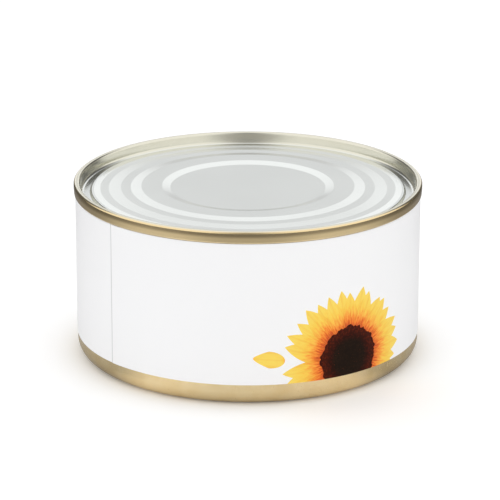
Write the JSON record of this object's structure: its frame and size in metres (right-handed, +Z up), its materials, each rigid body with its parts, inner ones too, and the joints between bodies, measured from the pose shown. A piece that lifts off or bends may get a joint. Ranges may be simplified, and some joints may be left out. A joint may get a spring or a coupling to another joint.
{
  "type": "tuna can",
  "caption": "Shut, shallow steel tuna can with a double-seamed stepped end, a rounded gold base and a white paper label with a sunflower.",
  "frame": {"origin": "centre of the bounding box at the standing ring, on the can's axis", "axes": "+Z up along the can's axis, -Y towards the front with the sunflower to the right"},
  "size_m": [0.0873, 0.0872, 0.0444],
  "materials": {
    "gold_lacquered_steel": "clear gold lacquer over bright drawn steel, satin",
    "tinplate": "bright rolled tinplate with a thin gold lacquer on the seam",
    "label_paper": "smooth coated white paper, printed with a sunflower and one loose petal"
  },
  "bodies": {
    "root": {"can_body": "gold_lacquered_steel", "can_end": "tinplate", "label": "label_paper"}
  },
  "joints": []
}
